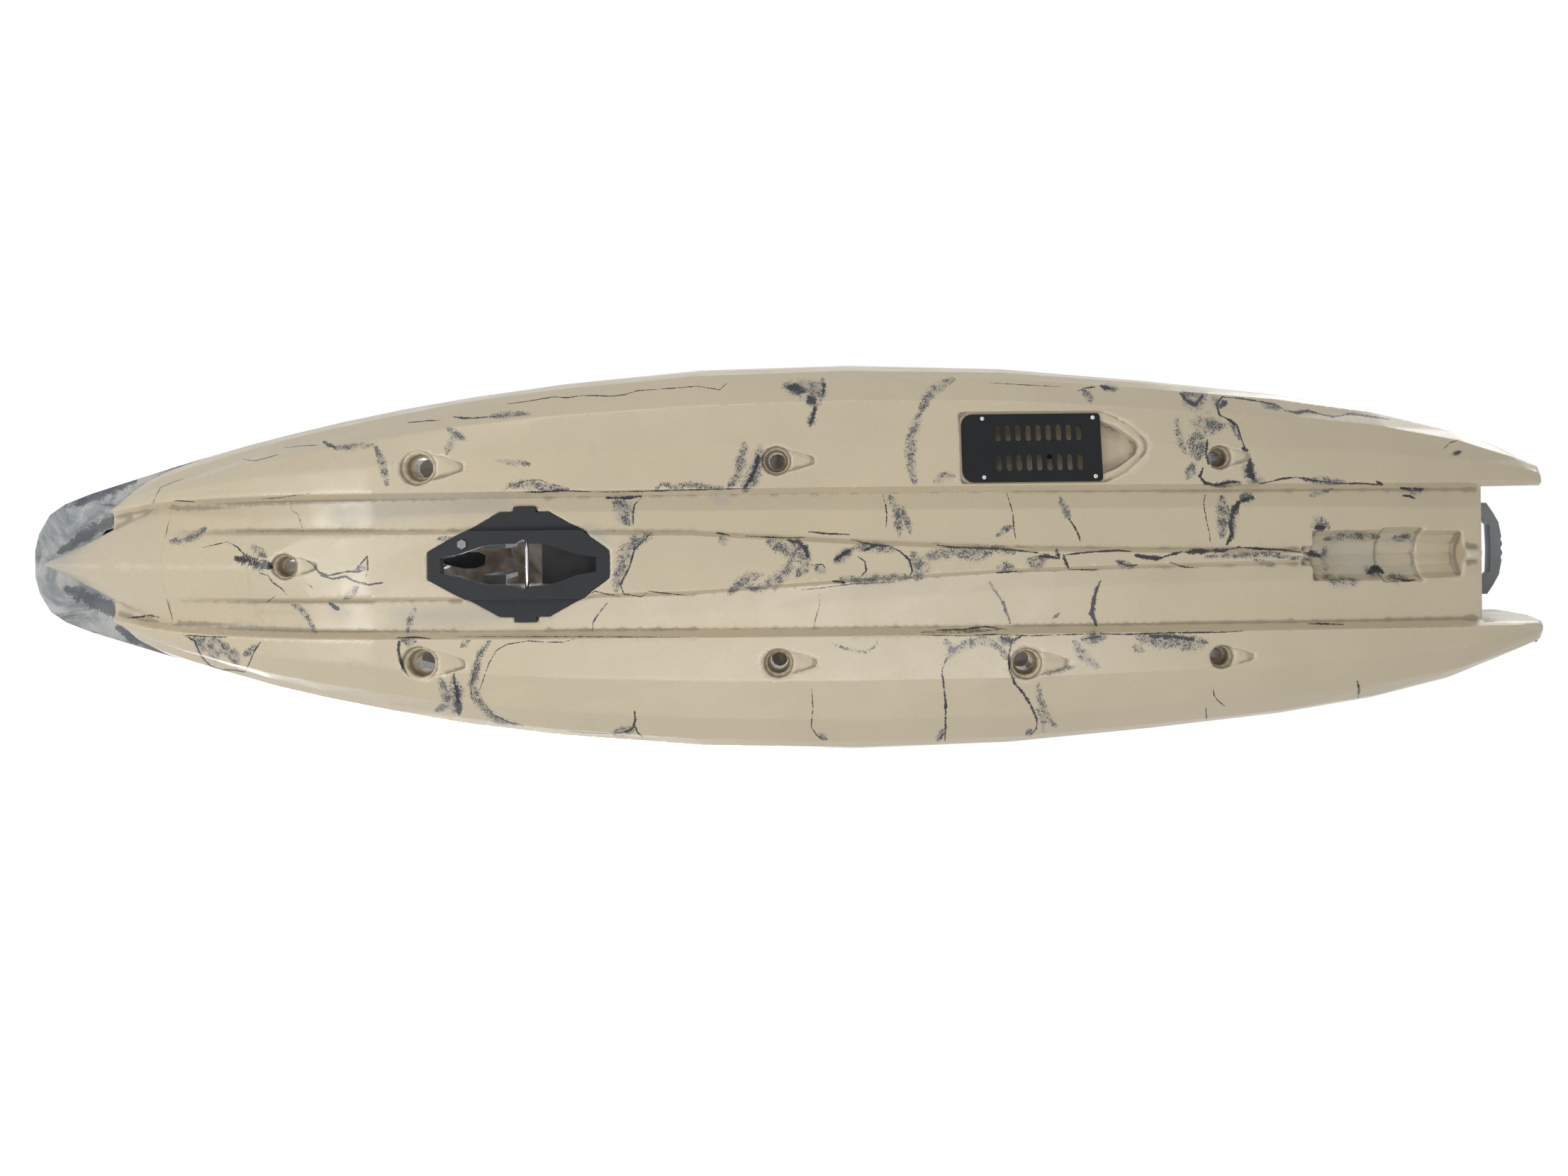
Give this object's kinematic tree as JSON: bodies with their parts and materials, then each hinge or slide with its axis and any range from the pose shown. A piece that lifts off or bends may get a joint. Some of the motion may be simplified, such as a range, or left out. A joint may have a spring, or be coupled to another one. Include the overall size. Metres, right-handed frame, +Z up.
{
  "type": "pedal kayak",
  "caption": "Sit-on-top fishing kayak with a tri-hull bottom, framed seat, hinged bow hatch and a lift-up, drop-in pedal propeller drive.",
  "frame": {"origin": "midway along and across the boat, on the ground that its keel and sponson ridges rest on", "axes": "+X towards the bow, +Y to port (left), +Z up; the boat stands upright on its bottom"},
  "size_m": [3.5, 0.89, 0.7599],
  "materials": {
    "hull": "semi-gloss moulded polyethylene, faint marbling",
    "deck": "semi-gloss marbled polyethylene",
    "black": "satin moulded plastic",
    "cover": "satin moulded plastic",
    "grey": "satin",
    "steel": "stainless, satin",
    "aluminium": "anodised satin",
    "rubber": "matte",
    "fabric": "open mesh cloth",
    "cord": "braided cover"
  },
  "bodies": {
    "hull": {"hull_shell": "hull", "deck_shell": "deck", "drive_well_insert": "black", "well_cross_rod": "steel", "insert_bolt": "steel", "well_cover": "black", "transducer_cover": "cover", "cover_screw_1": "steel", "cover_screw_2": "steel", "cover_screw_3": "steel", "cover_screw_4": "steel", "cable_gland": "rubber", "stern_handle": "grey", "bow_handle": "rubber", "bow_hatch_rim": "black", "bow_hatch_hinge_pin": "steel", "round_hatch_ring": "black", "gear_track_left": "aluminium", "gear_track_right": "aluminium", "rod_holder_left": "black", "rod_holder_right": "black", "tank_bungee": "cord", "seat_rail_left": "aluminium", "seat_rail_right": "aluminium", "seat_base_frame": "aluminium", "seat_pan": "fabric", "seat_cushion": "fabric", "seat_bolt_left": "steel", "seat_bolt_right": "steel", "drive_ear_left": "grey", "drive_ear_right": "grey"},
    "bow_lid": {"bow_hatch_lid": "grey"},
    "lid_handle": {"bow_hatch_handle": "black"},
    "round_lid": {"round_hatch_lid": "black"},
    "seat_back": {"seat_back_frame": "aluminium", "seat_back_panel": "fabric", "seat_back_cushion": "fabric"},
    "plug": {"drain_plug": "black"},
    "drive_collar": {"drive_bracket": "grey"},
    "lever": {"clamp_lever": "black"},
    "drive_unit": {"leg_column": "aluminium", "head_housing_left": "black", "head_housing_right": "black", "crank_bearing_left": "steel", "crank_bearing_right": "steel", "gearcase": "grey"},
    "crank": {"crank_axle": "steel", "crank_gear": "steel", "crank_arm_left": "aluminium", "crank_arm_right": "aluminium", "pedal_axle_left": "steel", "pedal_axle_right": "steel"},
    "left_pedal": {"pedal_left": "black"},
    "right_pedal": {"pedal_right": "black"},
    "shaft": {"drive_shaft": "steel"},
    "prop": {"prop_shaft": "steel", "propeller": "black"}
  },
  "joints": [
    {"name": "drive_tilt", "type": "hinge", "parent": "hull", "child": "drive_collar", "pos_m": [0.606, 0, 0.31], "axis": [0, 1, 0], "range_deg": [0, 90]},
    {"name": "drive_drop", "type": "slide", "parent": "drive_collar", "child": "drive_unit", "axis": [1, 0, 0], "range_m": [0, 0.28]},
    {"name": "clamp_turn", "type": "hinge", "parent": "drive_collar", "child": "lever", "pos_m": [0.62467, 0, 0.35], "axis": [0, 1, 0], "range_deg": [0, 80]},
    {"name": "crank_spin", "type": "hinge", "parent": "drive_unit", "child": "crank", "pos_m": [0.216, 0, 0.31], "axis": [0, 1, 0], "continuous": true},
    {"name": "pedal_left_spin", "type": "hinge", "parent": "crank", "child": "left_pedal", "pos_m": [0.106, 0.129, 0.31], "axis": [0, 1, 0], "continuous": true},
    {"name": "pedal_right_spin", "type": "hinge", "parent": "crank", "child": "right_pedal", "pos_m": [0.326, -0.129, 0.31], "axis": [0, 1, 0], "continuous": true},
    {"name": "shaft_spin", "type": "hinge", "parent": "drive_unit", "child": "shaft", "pos_m": [0.5, 0, 0.31], "axis": [-1, 0, 0], "continuous": true},
    {"name": "prop_spin", "type": "hinge", "parent": "drive_unit", "child": "prop", "pos_m": [0.756, 0, 0.31], "axis": [0, 0, 1], "continuous": true},
    {"name": "bow_lid_hinge", "type": "hinge", "parent": "hull", "child": "bow_lid", "pos_m": [1.60999, 0, 0.40609], "axis": [0, 1, 0], "range_deg": [0, 95]},
    {"name": "lid_handle_flip", "type": "hinge", "parent": "bow_lid", "child": "lid_handle", "pos_m": [1.22556, 0, 0.38075], "axis": [0, -1, 0], "range_deg": [0, 95]},
    {"name": "round_lid_lift", "type": "slide", "parent": "hull", "child": "round_lid", "axis": [0, 0, 1], "range_m": [0, 0.03]},
    {"name": "seat_recline", "type": "hinge", "parent": "hull", "child": "seat_back", "pos_m": [-0.442, 0, 0.3226], "axis": [0, -1, 0], "range_deg": [0, 8]},
    {"name": "plug_pull", "type": "slide", "parent": "hull", "child": "plug", "axis": [-0.9433, 0, -0.3321], "range_m": [0, 0.03]}
  ],
  "couplings": [
    {"joint": "shaft_spin", "follows": "crank_spin", "ratio": 4},
    {"joint": "prop_spin", "follows": "crank_spin", "ratio": 8}
  ]
}
